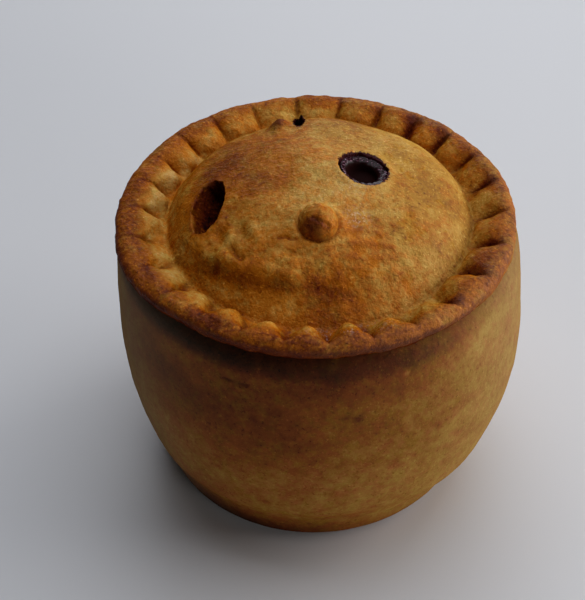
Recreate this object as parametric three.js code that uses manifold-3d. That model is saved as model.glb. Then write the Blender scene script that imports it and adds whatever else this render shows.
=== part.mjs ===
// A raised pork pie with a hand-crimped rim, a domed lid with a knob, and three steam holes.
// Millimetres, +Z up. The foot stands on z = 0, the origin is straight below the centre of the rim,
// and the front is -Y.
import * as THREE from "three";
import { mergeVertices } from "three/addons/utils/BufferGeometryUtils.js";
import Module from "manifold-3d";

// Driving dimensions
const rimRadius = 44; // outer edge of the crimped rim
const rimHeight = 68.3; // height of that edge above the table
const crimpCount = 26; // thumb-wide crimps round the rim
const lidRadius = 33.6; // where the lid dips into the trough inside the rim
const lidRise = 14.1; // from the trough up to the top of the lid
const troughDrop = 1.9; // trough below the rim's edge
const knobRadius = 4.3;
const knobHeight = 4.8;
const holeDepth = 9; // steam holes, straight down from the lid's surface
const jellyGap = 0.3; // between the jelly and the pastry round it

// Fineness of the faceted solids
const stepsPerCrimp = 7;
const lidSectors = 72;
const lidSteps = 10;
const pitSectors = 24;
const buttonSectors = 28;
const buttonSteps = 6;

// The wall's section from the foot up into the crease under the rim: each point's radius as a
// share of rimRadius, and its height as a share of rimHeight
const wallSection = [
  [0.7, 0],
  [0.765, 0.018],
  [0.81, 0.06],
  [0.84, 0.12],
  [0.892, 0.18],
  [0.957, 0.25],
  [1.012, 0.4],
  [1.038, 0.55],
  [1.037, 0.7],
  [1.027, 0.85],
  [1.008, 0.925],
  [0.955, 0.958],
];

// The rim's section from above that crease over the lip and down into the trough: each point's
// share of the way from the lip to the lid, and its height over the lip as a share of rimRadius.
// One runs along the top of a crimp, and the other along the furrow between two.
const crimpSection = [
  [0.095, -0.05],
  [0.013, -0.018],
  [0, 0.012],
  [0.11, 0.034],
  [0.3, 0.046],
  [0.5, 0.043],
  [0.7, 0.031],
  [0.87, 0.01],
  [0.965, -0.018],
  [1.03, -0.042],
];
const furrowSection = [
  [0.095, -0.05],
  [0.014, -0.018],
  [0.01, 0.01],
  [0.11, 0.03],
  [0.19, 0.026],
  [0.27, 0.01],
  [0.36, -0.014],
  [0.5, -0.034],
  [0.72, -0.044],
  [1.03, -0.042],
];

// The furrows stand unevenly: each is off its even place by these waves round the rim, and by a
// swing of those at the right, in degrees
const furrowOffset = -1.5;
const furrowWaves = [
  { degrees: 2.24, count: 1, peak: 134 },
  { degrees: 1.32, count: 3, peak: 7 },
];
const furrowSwing = { angle: 18, spread: 48, degrees: 4.4 };

// The crimps' inner tips are narrow fingers at the front: round from +X, and the power of the
// sine across a tip
const narrowTips = { angle: 268, spread: 34, power: 1.3 };

// The rim sags outwards at the left, where the furrows end short of the lip. The furrows are
// shallow at the back, and at the right the wall fills the crease under the rim: degrees round
// from +X, and shares of rimRadius or of the depth.
const rimSag = { angle: 203, spread: 20, out: 0.03, down: 0.02 };
const softFurrows = { angle: 105, spread: 48, fill: 0.4 };
const shortFurrows = { angle: 185, spread: 60, fill: 0.75, from: 0.26, to: 0.52 };
const fullNeck = { angle: 5, spread: 38, out: 0.042 };

// The lid's edge bulges towards the front and the right, and the lid is gentler at its front foot
// than behind. Its swells and hollows: places, spreads and rises in mm.
const lidBulges = [
  { angle: 266, spread: 50, out: 0.045 },
  { angle: 28, spread: 42, out: 0.034 },
];
const backSlope = 4;
const frontSlope = 2.25;
const lidSwells = [
  { x: 2, y: 26, spread: 8, rise: 1.5 },
  { x: -17, y: 20, spread: 9, rise: -1.2 },
  { x: 22, y: 21, spread: 8, rise: 0.7 },
];

// The wall leans right at the belly and left at the foot: shares of rimRadius
const bellyLean = 0.024;
const footLean = -0.016;

// What stands on the lid or goes into it: places and sizes as shares of rimRadius
const knobPlace = { x: 0.005, y: -0.345, tiltDegrees: 11 };
const blister = { x: -0.2, y: 0.57, radius: 0.048, height: 0.028 };
const rightHole = { x: 0.23, y: 0.066, long: 0.141, short: 0.122, turnDegrees: 104 };
const leftHole = { x: -0.54, y: -0.105, long: 0.18, short: 0.076, turnDegrees: 82 };
const rearHole = { x: -0.092, y: 0.61, long: 0.09, short: 0.033, turnDegrees: 92 };

const radians = THREE.MathUtils.degToRad;
const mix = THREE.MathUtils.lerp;

// Numbers between 0 and 1 from a fixed seed, so that the pie comes out the same each time
let seed = 20;
function draw() {
  seed = (seed * 16807) % 2147483647;
  return seed / 2147483647;
}
const crimpTraits = Array.from({ length: crimpCount }, () => ({
  height: mix(0.85, 1.15, draw()),
  reach: mix(-0.06, 0.07, draw()),
}));

// A smooth hump round one place of the rim, 1 in its middle
function hump(angle, place) {
  const turn = angle - radians(place.angle);
  const away = Math.atan2(Math.sin(turn), Math.cos(turn));
  return Math.exp(-((away / radians(place.spread)) ** 2));
}

function furrowAngle(k) {
  const even = (k * 360) / crimpCount;
  const drift = (wave) => wave.degrees * Math.cos(radians(wave.count * (even - wave.peak)));
  const swing = furrowSwing.degrees * hump(radians(even), furrowSwing);
  return radians(furrowWaves.reduce((sum, wave) => sum + drift(wave), even + furrowOffset + swing));
}

// 0 in the furrows and 1 on top of a crimp, which is broad with sharp furrows at its sides. The
// tips are narrower at the front, and the furrows partly filled at the back, and near the lip at
// the left.
function crimpShare(angle, across, inwards) {
  const narrow = hump(angle, narrowTips) * THREE.MathUtils.smoothstep(inwards, 0.15, 0.5);
  const share = Math.sin(Math.PI * across) ** mix(0.5, narrowTips.power, narrow);
  const nearLip = 1 - THREE.MathUtils.smoothstep(inwards, shortFurrows.from, shortFurrows.to);
  const soft = softFurrows.fill * hump(angle, softFurrows);
  const short = shortFurrows.fill * hump(angle, shortFurrows) * nearLip;
  return mix(share, 1, Math.max(soft, short));
}

function lean(height) {
  return rimRadius * (bellyLean * Math.sin(Math.PI * height) + footLean * (1 - height) ** 2);
}

// Slow unevenness of a wall raised by hand, as a share of its radius
function wallUnevenness(angle, height) {
  const inside = Math.sin(Math.PI * height);
  return inside * (0.006 * Math.cos(2 * angle + 0.8) + 0.004 * Math.sin(3 * angle + 5 * height));
}

// How far from the middle the lid dips into the trough
function lidEdge(angle) {
  return lidBulges.reduce((edge, b) => edge + rimRadius * b.out * hump(angle, b), lidRadius);
}

// The lid's surface: rounded on top and sloping straight down at its foot, with slow swells
function lidHeight(x, y) {
  const angle = Math.atan2(y, x);
  const out = Math.min(1, Math.hypot(x, y) / lidEdge(angle));
  const top = Math.sqrt(1 - out ** 1.7);
  const foot = (1 - out) * mix(backSlope, frontSlope, hump(angle, lidBulges[0]));
  const blend = 0.08 * Math.sqrt(Math.min(1, 4 * foot));
  const dome = (top + foot - Math.hypot(top - foot, blend)) / 2;
  const waves = 0.5 * Math.sin(x / 9 + 1) * Math.cos(y / 7.5) + 0.25 * Math.sin((x + 1.4 * y) / 5);
  const swell = (sum, s) => sum + s.rise * Math.exp(-(((x - s.x) ** 2 + (y - s.y) ** 2) / s.spread ** 2));
  return rimHeight - troughDrop + lidRise * dome + (1 - out ** 6) * lidSwells.reduce(swell, waves);
}

// Where a place given in shares of rimRadius lies on the lid
function onLid({ x, y }) {
  return new THREE.Vector3(x * rimRadius, y * rimRadius, lidHeight(x * rimRadius, y * rimRadius));
}

const wasm = await Module();
wasm.setup();

function solidOf(geometry) {
  geometry.deleteAttribute("normal");
  geometry.deleteAttribute("uv");
  const merged = mergeVertices(geometry, 1e-3);
  return new wasm.Manifold(new wasm.Mesh({
    numProp: 3,
    vertProperties: merged.attributes.position.array,
    triVerts: new Uint32Array(merged.index.array),
  }));
}

function geometryOf(solid) {
  const mesh = solid.getMesh();
  const geometry = new THREE.BufferGeometry();
  geometry.setAttribute("position", new THREE.BufferAttribute(mesh.vertProperties, 3));
  geometry.setIndex(new THREE.BufferAttribute(mesh.triVerts, 1));
  geometry.computeVertexNormals();
  return geometry;
}

// A lathe round +Z through profile points [radius, height]
function turned(profile, sectors) {
  const points = profile.map(([r, z]) => new THREE.Vector2(r, z));
  return new THREE.LatheGeometry(points, sectors).rotateX(Math.PI / 2);
}

// A lathe whose every vertex is then put where place(sector, ring) says
function shapedLathe(rings, sectors, place) {
  const isPole = (ring) => ring === 0 || ring === rings - 1;
  const profile = Array.from({ length: rings }, (_, ring) => [isPole(ring) ? 0 : 1, ring]);
  const lathe = turned(profile, sectors);
  for (let sector = 0; sector <= sectors; sector++) {
    for (let ring = 0; ring < rings; ring++) {
      const { x, y, z } = place(sector % sectors, ring);
      lathe.attributes.position.setXYZ(sector * rings + ring, x, y, z);
    }
  }
  return lathe;
}

// A point of the wall
function wallPoint(angle, [r, height], isCrease) {
  const filled = isCrease ? fullNeck.out * hump(angle, fullNeck) : 0;
  const radius = rimRadius * (r + filled) * (1 + wallUnevenness(angle, height));
  return {
    x: radius * Math.cos(angle) + lean(height),
    y: radius * Math.sin(angle),
    z: height * rimHeight,
  };
}

// A point of the rim, part of the way from the furrow's section to the crimp's
function rimPoint(angle, step, across, trait) {
  const [crimpIn, crimpZ] = crimpSection[step];
  const [furrowIn, furrowZ] = furrowSection[step];
  const share = crimpShare(angle, across, furrowIn) * trait.height;
  const isTip = THREE.MathUtils.clamp((step - 3) / 3, 0, 1) * (step < crimpSection.length - 1 ? 1 : 0);
  const inwards = furrowIn + share * (crimpIn - furrowIn + isTip * trait.reach);
  const sag = hump(angle, rimSag) * (1 - THREE.MathUtils.smoothstep(furrowIn, 0.1, 0.9));
  const neck = step === 0 ? 0.5 * fullNeck.out * hump(angle, fullNeck) : 0;
  const radius = mix(rimRadius, lidEdge(angle), inwards) + rimRadius * (rimSag.out * sag + neck);
  return {
    x: radius * Math.cos(angle),
    y: radius * Math.sin(angle),
    z: rimHeight + rimRadius * (mix(furrowZ, crimpZ, share) - rimSag.down * sag),
  };
}

// Case and rim: across the foot, up the wall, over the crimps, into the trough and in to the axis
function caseSolid() {
  const wallRings = wallSection.length;
  const rings = 1 + wallRings + crimpSection.length + 1;
  const place = (sector, ring) => {
    const k = Math.floor(sector / stepsPerCrimp);
    const across = (sector % stepsPerCrimp) / stepsPerCrimp;
    const angle = mix(furrowAngle(k), furrowAngle(k + 1), across);
    if (ring === 0) return { x: lean(0), y: 0, z: 0 };
    if (ring === rings - 1) return { x: 0, y: 0, z: rimHeight - troughDrop };
    if (ring <= wallRings) return wallPoint(angle, wallSection[ring - 1], ring === wallRings);
    return rimPoint(angle, ring - wallRings - 1, across, crimpTraits[k]);
  };
  return solidOf(shapedLathe(rings, crimpCount * stepsPerCrimp, place));
}

// The lid: a dome over the trough, on a plug that is buried in the case
function lidSolid() {
  const buried = rimHeight - 0.3 * rimRadius;
  const rings = lidSteps + 3;
  const place = (sector, ring) => {
    const angle = (2 * Math.PI * sector) / lidSectors;
    const rise = Math.max(0, ring - 2) / lidSteps;
    const isPole = ring === 0 || ring === rings - 1;
    const radius = isPole ? 0 : lidEdge(angle) * Math.cos((Math.PI / 2) * rise);
    const x = radius * Math.cos(angle);
    const y = radius * Math.sin(angle);
    return { x, y, z: ring < 2 ? buried : lidHeight(x, y) };
  };
  return solidOf(shapedLathe(rings, lidSectors, place));
}

// A rounded button, upright on the origin, with a foot that is sunk into the pastry below it
function buttonGeometry(radius, height, sink) {
  const profile = [[0, -sink], [radius, -sink]];
  for (let step = 0; step < buttonSteps; step++) {
    const turn = (Math.PI / 2) * (step / buttonSteps);
    profile.push([radius * Math.cos(turn), height * Math.sin(turn)]);
  }
  profile.push([0, height]);
  return turned(profile, buttonSectors);
}

function knobSolid() {
  const { x, y, z } = onLid(knobPlace);
  const knob = buttonGeometry(knobRadius, knobHeight, 3);
  return solidOf(knob.rotateX(radians(knobPlace.tiltDegrees)).translate(x, y, z));
}

function blisterSolid() {
  const { x, y, z } = onLid(blister);
  const bump = buttonGeometry(blister.radius * rimRadius, blister.height * rimRadius, 2);
  return solidOf(bump.translate(x, y, z));
}

// A tapering pit: from well above the lid down to holeDepth under its surface
function pitSolid(hole) {
  const above = 14;
  const profile = [
    [0, -holeDepth],
    [0.62, -holeDepth],
    [0.86, -0.6 * holeDepth],
    [1, -0.6],
    [1.08, above],
    [0, above],
  ];
  const { x, y, z } = onLid(hole);
  const pit = turned(profile, pitSectors).scale(hole.long * rimRadius, hole.short * rimRadius, 1);
  return solidOf(pit.rotateZ(radians(hole.turnDegrees)).translate(x, y, z));
}

// Jelly that has risen in a steam hole and set round its wall, with a dip in the middle. It is as
// long and as turned as the hole, and its top slopes with the lid.
function jellyMesh() {
  const outer = rightHole.short * rimRadius - jellyGap;
  const longer = (rightHole.long * rimRadius - jellyGap) / outer;
  const slopingAbove = -0.6 * holeDepth;
  const profile = [
    [0, -holeDepth + jellyGap],
    [0.6 * outer, -holeDepth + jellyGap],
    [0.83 * outer, slopingAbove],
    [0.94 * outer, -1.2],
    [0.9 * outer, -0.7],
    [0.8 * outer, -0.9],
    [0.67 * outer, -1.8],
    [0.56 * outer, -3.6],
    [0, -4.4],
  ];
  const middle = onLid(rightHole);
  const lathe = turned(profile, pitSectors).scale(longer, 1, 1);
  const geometry = lathe.rotateZ(radians(rightHole.turnDegrees));
  const { position } = geometry.attributes;
  for (let i = 0; i < position.count; i++) {
    const z = position.getZ(i);
    const share = THREE.MathUtils.clamp(1 - (z + 1) / (slopingAbove + 1), 0, 1);
    const slope = lidHeight(middle.x + position.getX(i), middle.y + position.getY(i)) - middle.z;
    position.setZ(i, z + share * slope);
  }
  geometry.computeVertexNormals();
  const jelly = new THREE.MeshStandardMaterial({ color: 0x3a1512, roughness: 0.12 });
  const mesh = new THREE.Mesh(geometry, jelly);
  mesh.position.copy(middle);
  mesh.name = "jelly";
  return mesh;
}

function crustMesh() {
  let crust = caseSolid().add(lidSolid()).add(knobSolid()).add(blisterSolid());
  for (const hole of [rightHole, leftHole, rearHole]) crust = crust.subtract(pitSolid(hole));
  const pastry = new THREE.MeshStandardMaterial({ color: 0xb07a3a, roughness: 0.55 });
  const mesh = new THREE.Mesh(geometryOf(crust), pastry);
  mesh.name = "crust";
  return mesh;
}

const group = new THREE.Group();
group.add(crustMesh(), jellyMesh());

export default group;
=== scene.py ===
import math
from functools import partial

import bpy
import numpy as np
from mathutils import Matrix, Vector, noise


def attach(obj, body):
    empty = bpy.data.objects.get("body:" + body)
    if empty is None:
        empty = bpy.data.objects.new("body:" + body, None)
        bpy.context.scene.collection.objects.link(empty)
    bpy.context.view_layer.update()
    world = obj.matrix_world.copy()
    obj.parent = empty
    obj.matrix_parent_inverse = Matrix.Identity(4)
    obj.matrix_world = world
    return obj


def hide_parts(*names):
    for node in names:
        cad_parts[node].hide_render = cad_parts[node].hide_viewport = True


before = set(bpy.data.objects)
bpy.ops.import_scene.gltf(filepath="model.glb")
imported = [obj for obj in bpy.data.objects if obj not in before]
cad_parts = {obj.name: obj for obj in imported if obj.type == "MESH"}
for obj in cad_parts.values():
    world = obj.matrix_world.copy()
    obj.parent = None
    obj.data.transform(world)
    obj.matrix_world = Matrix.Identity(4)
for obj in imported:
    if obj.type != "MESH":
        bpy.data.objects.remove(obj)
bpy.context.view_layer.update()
print("frame loaded")

mm = 0.001
tau = 2 * math.pi

# The pie's form: shares of rimRadius unless a note says mm, and degrees round from +X
pie = {
    "rimRadius": 44.0,  # mm, outer edge of the crimped rim
    "rimHeight": 68.3,  # mm, that edge above the table
    "crimpCount": 26,
    "lidRadius": 33.6,  # mm
    "lidRise": 14.1,  # mm, from the trough to the top of the lid
    "troughDrop": 1.9,  # mm
    "furrowOffset": -1.5,  # degrees
    "furrowWaves": [(2.24, 1, 134), (1.32, 3, 7)],  # degrees off, waves round the rim, peak
    "furrowSwing": {"angle": 18, "spread": 48, "degrees": 4.4},
    # fingers at the front, narrowing between these shares of the way in from the lip
    "narrowTips": {"angle": 268, "spread": 34, "shares": (0.15, 0.5)},
    # the lip droops at the left, less and less from one share of the way in on
    "rimSag": {"angle": 203, "spread": 20, "out": 0.03, "down": 0.02, "from": 0.2, "over": 0.6},
    "softFurrows": {"angle": 105, "spread": 48, "fill": 0.4},
    # furrows at the left merge with the lip and open between these shares
    "shortFurrows": {"angle": 185, "spread": 60, "fill": 0.75, "shares": (0.26, 0.52)},
    "fullNeck": {"angle": 5, "spread": 38, "out": 0.042},
    "lidBulges": [
        {"angle": 266, "spread": 50, "out": 0.045}, {"angle": 28, "spread": 42, "out": 0.034},
    ],
    "lidSlopes": (4.0, 2.25),  # at the foot of the lid, behind and in front
    "lidTurn": (0.08, 4),  # how softly the lid turns down to that foot, and how soon
    "lidFullness": 1.7,  # higher makes a flatter dome with a steeper edge
    "lidCalm": 6,  # higher takes waves and swells nearer to the edge
    "lidWaves": (0.5, 9, 7.5, 1),  # mm: height, lengths along x and y, start
    "lidRipples": (0.25, 5, 1.4),  # mm: height and length, then their slant
    "lidSwells": [(2, 26, 8, 1.5), (-17, 20, 9, -1.2), (22, 21, 8, 0.7)],  # mm: x, y, spread, rise
    "bellyLean": 0.024,
    "footLean": -0.016,
}


def linear(hexColour):
    # sRGB hex to the linear RGBA that sockets take
    parts = [int(hexColour[i:i + 2], 16) / 255 for i in (1, 3, 5)]
    return (*[c / 12.92 if c <= 0.04045 else ((c + 0.055) / 1.055) ** 2.4 for c in parts], 1.0)


def fill(node, inputs):
    # sets inputs, by name or in order, each to a value or to the socket that feeds it
    for key, value in inputs.items() if isinstance(inputs, dict) else enumerate(inputs):
        if isinstance(value, bpy.types.NodeSocket):
            node.id_data.links.new(value, node.inputs[key])
        else:
            node.inputs[key].default_value = value


def addNode(tree, kind, inputs=(), output=0, stops=(), **settings):
    # one node with its settings and links, and the output to link on; stops fill a colour ramp
    node = tree.nodes.new(kind)
    for name, value in settings.items():
        setattr(node, name, value)
    fill(node, inputs)
    for _ in stops[2:]:
        node.color_ramp.elements.new(1.0)
    for count, (place, colour) in enumerate(stops):
        element = node.color_ramp.elements[count]
        element.position, element.color = place, linear(colour)
    return node.outputs[output] if node.outputs else None


def meshObject(name, points, faces):
    # points in mm, a mesh object at the origin in metres
    mesh = bpy.data.meshes.new(name)
    mesh.from_pydata((np.asarray(points) * mm).tolist(), [], faces)
    mesh.validate()
    mesh.shade_smooth()
    obj = bpy.data.objects.new(name, mesh)
    bpy.context.scene.collection.objects.link(obj)
    return obj


def pointsOf(obj):
    # an object's points in mm
    flat = np.empty(len(obj.data.vertices) * 3)
    obj.data.vertices.foreach_get("co", flat)
    return flat.reshape(-1, 3) / mm


def setAttributes(obj, **values):
    # one value of each name at each point
    for name, amounts in values.items():
        layer = obj.data.attributes.new(name, "FLOAT", "POINT")
        layer.data.foreach_set("value", np.asarray(amounts, np.float32))


def settle(obj):
    # the evaluated shape becomes the object's own plain mesh, and its modifiers go
    graph = bpy.context.evaluated_depsgraph_get()
    made = bpy.data.meshes.new_from_object(obj.evaluated_get(graph))
    obj.modifiers.clear()
    old, obj.data = obj.data, made
    bpy.data.meshes.remove(old)
    return obj


def smoothThrough(points, where):
    # a smooth curve through the points, read at places along their numbering
    points = np.asarray(points, float)
    padded = np.vstack([2 * points[0] - points[1], points, 2 * points[-1] - points[-2]])
    span = np.clip(np.floor(where).astype(int), 0, len(points) - 2)
    t = (where - span)[:, None]
    a, b, c, d = (padded[span + i] for i in range(4))
    bend = (2 * a - 5 * b + 4 * c - d) * t**2 + (3 * b - a - 3 * c + d) * t**3
    return 0.5 * (2 * b + (c - a) * t + bend)


def ringPlaces(points, pitch):
    # places along the numbering of the points, about pitch apart
    lengths = np.hypot(*np.diff(np.asarray(points, float), axis=0).T)
    steps = [np.linspace(i, i + 1, max(1, round(length / pitch)), endpoint=False)
             for i, length in enumerate(lengths)]
    return np.append(np.concatenate(steps), len(points) - 1.0)


def between(ends, share):
    # the value that far from the first end to the second
    return ends[0] + (ends[1] - ends[0]) * share


def clamp(values):
    return np.clip(values, 0, 1)


def ease(value, low, high):
    # 0 below low, 1 above high and smooth in between
    t = clamp((value - low) / (high - low))
    return t * t * (3 - 2 * t)


def turned(u, v, degrees):
    # a point turned about the origin
    c, s = math.cos(math.radians(degrees)), math.sin(math.radians(degrees))
    return u * c - v * s, u * s + v * c


def bell(value, middle, width):
    # 1 at the middle, fading out to both sides
    return np.exp(-(((value - middle) / width) ** 2))


def hump(angle, place):
    # 1 at a place round the rim, fading to both sides
    turn = angle - math.radians(place["angle"])
    return bell(np.arctan2(np.sin(turn), np.cos(turn)), 0, math.radians(place["spread"]))


def humpAt(angle, degrees, spread):
    return hump(angle, {"angle": degrees, "spread": spread})


def spotAt(x, y, atX, atY, spread):
    # 1 at a point of the lid, fading to all sides
    return np.exp(-((x - atX) ** 2 + (y - atY) ** 2) / spread**2)


def nearPath(x, y, path, width):
    # 1 along a line through the path's points, fading out over its width
    away = np.full(np.shape(x), 1e9)
    for (ax, ay), (bx, by) in zip(path, path[1:]):
        dx, dy = bx - ax, by - ay
        t = clamp(((x - ax) * dx + (y - ay) * dy) / (dx * dx + dy * dy))
        away = np.minimum(away, np.hypot(x - ax - t * dx, y - ay - t * dy))
    return bell(away, 0, width)


def drift(even):
    # how far a furrow stands off its even place, both in radians
    degrees = pie["furrowOffset"]
    for size, count, peak in pie["furrowWaves"]:
        degrees = degrees + size * np.cos(count * (even - math.radians(peak)))
    return np.radians(degrees + pie["furrowSwing"]["degrees"] * hump(even, pie["furrowSwing"]))


def lean(height):
    # mm that the wall stands off the rim's middle at a share of its height
    shift = pie["bellyLean"] * np.sin(np.pi * height) + pie["footLean"] * (1 - height) ** 2
    return pie["rimRadius"] * shift


def lidEdge(angle):
    # mm, where the lid dips into the trough
    bulge = sum(b["out"] * hump(angle, b) for b in pie["lidBulges"])
    return pie["lidRadius"] + pie["rimRadius"] * bulge


def lidHeight(x, y):
    # mm above the table, of the plain lid
    angle = np.arctan2(y, x)
    out = np.minimum(1, np.hypot(x, y) / lidEdge(angle))
    high, along, aside, start = pie["lidWaves"]
    swelling = high * np.sin(x / along + start) * np.cos(y / aside)
    high, along, slant = pie["lidRipples"]
    swelling = swelling + high * np.sin((x + slant * y) / along)
    for atX, atY, spread, rise in pie["lidSwells"]:
        swelling = swelling + rise * spotAt(x, y, atX, atY, spread)
    slope = between(pie["lidSlopes"], hump(angle, pie["lidBulges"][0]))
    top, foot = np.sqrt(1 - out ** pie["lidFullness"]), slope * (1 - out)
    soft, soon = pie["lidTurn"]
    share = (top + foot - np.sqrt((top - foot) ** 2 + soft**2 * np.minimum(1, soon * foot))) / 2
    swelling = (1 - out ** pie["lidCalm"]) * swelling
    return pie["rimHeight"] - pie["troughDrop"] + pie["lidRise"] * share + swelling


# Case: the wall from the foot up into the crease under the rim, closed under the lid
case = {
    "sectorsPerCrimp": 28,
    "pitch": 0.85,  # mm between rings
    # radius as a share of rimRadius, height as a share of rimHeight
    "section": [
        (0.715, 0), (0.775, 0.018), (0.812, 0.06), (0.84, 0.12), (0.892, 0.18), (0.957, 0.25),
        (1.012, 0.4), (1.038, 0.55), (1.037, 0.7), (1.027, 0.85), (1.008, 0.925), (0.955, 0.958),
        (0.9, 0.968),
    ],
    "creasePoint": 11,  # the section's point in the crease
    "footRings": (0.15, 0.97, 7),  # first and last share of the foot's radius, and their count
    "topRings": (0.6, 0.2),  # shares of rimRadius
    "topHeight": 0.965,
    # out of round: share of the radius, waves round it, where they start, their twist with height
    "waves": [(0.006, 2, 0.8, 0), (0.004, 3, -math.pi / 2, 5)],
    # where the wall swells or sinks: degrees, height and spreads in mm, rise
    "swells": [(318, 12, 14, 9, 0.5), (207, 22, 14, 12, -0.6)],
}


def gridFaces(rings, sectors):
    # quads between rings of points, each ring closed on itself
    faces = []
    for ring in range(rings - 1):
        a = ring * sectors
        for s in range(sectors):
            n = (s + 1) % sectors
            faces.append((a + s, a + n, a + sectors + n, a + sectors + s))
    return faces


def capFaces(rings, sectors):
    # triangles that close the first and last rings on the two points after them
    count, last = rings * sectors, (rings - 1) * sectors
    return ([(count, (s + 1) % sectors, s) for s in range(sectors)]
            + [(count + 1, last + s, last + (s + 1) % sectors) for s in range(sectors)])


def buildCase():
    sectors = pie["crimpCount"] * case["sectorsPerCrimp"]
    even = np.arange(sectors) * tau / sectors
    angle = even + drift(even)
    wide, tall = pie["rimRadius"], pie["rimHeight"]
    section = np.array(case["section"]) * (wide, tall)
    where = ringPlaces(section, case["pitch"])
    r, z = smoothThrough(section, where).T
    foot = np.linspace(*case["footRings"]) * section[0, 0]
    top = np.array(case["topRings"]) * wide
    r = np.concatenate([foot, r, top])
    z = np.concatenate([0 * foot, z, 0 * top + case["topHeight"] * tall])
    crease = np.concatenate([0 * foot, clamp(1 - abs(where - case["creasePoint"])), 0 * top])
    height = (z / tall)[:, None]
    neck = pie["fullNeck"]["out"] * crease[:, None] * hump(angle, pie["fullNeck"])
    waves = sum(size * np.cos(count * angle + start + twist * height)
                for size, count, start, twist in case["waves"])
    radius = (r[:, None] + wide * neck) * (1 + np.sin(np.pi * clamp(height)) * waves)
    for degrees, high, spread, up, rise in case["swells"]:
        radius = radius + rise * humpAt(angle, degrees, spread) * bell(z[:, None], high, up)
    rings = np.stack([radius * np.cos(angle) + lean(height), radius * np.sin(angle),
                      np.broadcast_to(z[:, None], radius.shape)], -1)
    points = np.vstack([rings.reshape(-1, 3), [(lean(0), 0, 0), (0, 0, z[-1])]])
    faces = gridFaces(len(r), sectors) + capFaces(len(r), sectors)
    obj = meshObject("pieCase", points, faces)
    setAttributes(obj, rough=np.ones(len(points)))
    return obj


# Lid: from the crease over the crimped rim, through the trough and over the dome in one skin
lid = {
    "pitch": 0.4,  # mm between rings over the rim
    # each point's share of the way from the lip to the lid, and its height over the lip as a share
    # of rimRadius: along the top of a crimp
    "crimp": [
        (0.44, -0.085), (0.24, -0.076), (0.095, -0.05), (0.013, -0.018), (0, 0.012), (0.11, 0.034),
        (0.3, 0.046), (0.5, 0.043), (0.72, 0.033), (0.9, 0.014), (0.985, -0.014), (1, -0.042),
    ],
    # and along the furrow between two
    "furrow": [
        (0.44, -0.085), (0.24, -0.076), (0.095, -0.05), (0.014, -0.018), (0.01, 0.01),
        (0.11, 0.03), (0.19, 0.026), (0.27, 0.01), (0.36, -0.014), (0.5, -0.034),
        (0.72, -0.044), (1, -0.042),
    ],
    "flank": [1.05, 1.1, 1.15, 1.2, 1.25],  # places of rings up the foot of the dome
    "crimpHeights": (0.85, 1.15),
    "crimpReaches": (-0.09, 0.02),
    "lipPoint": 2.0,  # the sections' point at the lip
    "reachPoint": 5,  # where crimps start to differ in reach, fully so reachOver points on
    "reachOver": 3,
    "neckPoint": 3,  # where the full neck has faded out, from neckOver points before
    "neckOver": 2,
    "roughSpots": [(-14, -18, 14, 0.9), (6, -24, 12, 0.5)],  # mm: x, y, spread, more roughness
    "rimRoughness": 1.0,  # more than the dome's
    "rimEnds": (-0.5, 2),  # mm in from the dome's edge, where the one passes into the other
}

# What the bake has drawn on the lid, with painted shade and light in places, in mm: path, width,
# rise and browning
lidMarks = [
    # the front left, where the lid turns down to the rim: a ridge and a hollow below it
    ([(-29.5, -11), (-25.5, -17), (-21, -21)], 2.0, 0.85, 0.02),
    ([(-21, -21), (-16, -24), (-11.5, -25.5), (-6, -27)], 1.8, 0.85, 0.05),
    ([(-6, -27), (0, -27.6), (5, -28)], 1.8, 0.5, 0.03),
    ([(-29, -16), (-22, -25), (-14, -29.5), (-6, -31)], 2.4, -0.3, -0.12),
    # brown lines below that ridge: painted shade where the lid turns down away from the light
    ([(-30, -14.5), (-25.5, -19.5), (-21.5, -22.5)], 0.9, -0.2, 0.2),
    ([(-21.5, -22.5), (-16, -26), (-10, -27.8), (-5, -28.8)], 0.8, -0.2, 0.18),
    ([(-2, -28.4), (3, -29.2), (8, -29.5)], 0.8, -0.2, 0.12),
    # folds and dimples above it: most hollows browned and two bumps paler, painted shade and light
    # on their relief
    ([(-18.5, -18.5), (-17.5, -20.5), (-16, -22)], 0.7, -0.7, 0.16),
    ([(-21, -14), (-20.5, -16.5)], 1.1, -0.6, 0.09),
    ([(-23, -17), (-21.5, -19)], 1.0, -0.5, 0.08),
    ([(-16.5, -14), (-15.5, -16.5)], 1.2, -0.5, 0.04),
    ([(-14, -14.5), (-12.5, -18)], 1.1, 0.5, -0.07),
    ([(-18.5, -15), (-18.8, -17.5)], 0.9, 0.5, -0.06),
    ([(-9, -22.5), (-5, -24)], 1.3, 0.5, 0.02),
    ([(-1, -24.5), (3, -23.5)], 1.3, 0.45, 0.02),
    ([(-12, -21), (-9.5, -20)], 1.0, -0.5, 0.08),
    ([(-6, -21.5), (-2.5, -22)], 0.9, -0.45, 0.07),
    # crack left of the knob
    ([(-8.2, -18), (-6.6, -17.9), (-5.6, -18.6), (-4.2, -18.7)], 0.28, -0.35, 0.3),
    # arcs right of the knob
    ([(6, -16.5), (10, -15.5), (13.5, -16)], 0.8, 0.3, 0.1),
    ([(7.5, -19.5), (12, -18.5), (16, -18.5)], 0.9, 0.3, 0.11),
    ([(6, -22.5), (12, -22), (18, -20.5)], 0.9, 0.3, 0.09),
    ([(13, -12.5), (18, -13.5)], 1.1, 0.2, 0.08),
    ([(16, -25), (21, -22)], 0.9, 0.2, 0.08),
    # streak from the rear hole
    ([(-9.5, 28), (-9, 21), (-8, 15)], 1.6, 0.2, 0.1),
    ([(-6, 4), (-6.5, -2), (-8, -7)], 2.2, -0.2, 0.06),
    ([(-22, 5.5), (-19, 8.5)], 2.5, 0.15, 0.06),
    # torn lower lip of the left hole
    ([(-25.6, -13.4), (-22.3, -12.9), (-20.6, -10.9)], 0.8, 0.5, 0.0),
]

seed = 20


def draw():
    # the next number between 0 and 1
    global seed
    seed = seed * 16807 % 2147483647
    return seed / 2147483647


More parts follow.
